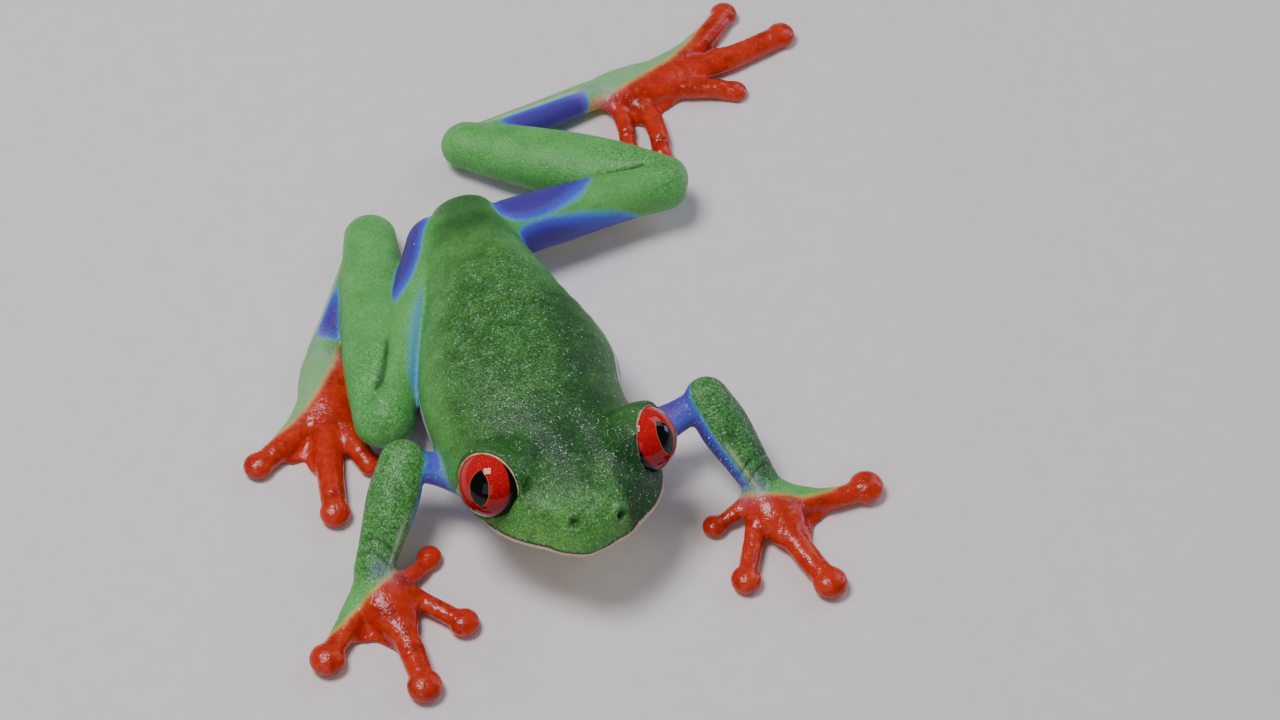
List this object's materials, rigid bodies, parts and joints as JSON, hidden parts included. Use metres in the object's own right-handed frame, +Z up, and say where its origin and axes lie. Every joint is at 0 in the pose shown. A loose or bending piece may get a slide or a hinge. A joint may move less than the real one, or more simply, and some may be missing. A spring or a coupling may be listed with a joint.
{
  "type": "red-eyed tree frog",
  "caption": "Life-size red-eyed tree frog crouching flat with splayed orange hands and feet; rests on its belly and toe pads.",
  "frame": {"origin": "on the floor, in the flat on which the belly rests, a little ahead of the body's middle", "axes": "+Z up from the floor, -Y towards the snout, +X towards the frog's left side"},
  "size_m": [0.0859, 0.094, 0.0188],
  "materials": {
    "green_skin": "moist, finely granular",
    "mint_skin": "moist, satin",
    "violet_skin": "moist, satin",
    "orange_skin": "moist, glossy",
    "eye": "wet, high gloss"
  },
  "bodies": {
    "root": {"eye_left": "eye", "eye_right": "eye", "finger_1_left": "orange_skin", "finger_1_right": "orange_skin", "finger_2_left": "orange_skin", "finger_2_right": "orange_skin", "finger_3_left": "orange_skin", "finger_3_right": "orange_skin", "finger_4_left": "orange_skin", "finger_4_right": "orange_skin", "forearm_left": "green_skin", "forearm_right": "green_skin", "head": "green_skin", "palm_left": "orange_skin", "palm_right": "orange_skin", "shank_left": "mint_skin", "shank_right": "mint_skin", "sole_left": "orange_skin", "sole_right": "orange_skin", "tarsus_left": "mint_skin", "tarsus_right": "mint_skin", "thigh_left": "violet_skin", "thigh_right": "violet_skin", "toe_1_left": "orange_skin", "toe_1_right": "orange_skin", "toe_2_left": "orange_skin", "toe_2_right": "orange_skin", "toe_3_left": "orange_skin", "toe_3_right": "orange_skin", "toe_4_left": "orange_skin", "toe_4_right": "orange_skin", "toe_5_left": "orange_skin", "toe_5_right": "orange_skin", "trunk": "green_skin", "upper_arm_left": "violet_skin", "upper_arm_right": "violet_skin"}
  },
  "joints": []
}
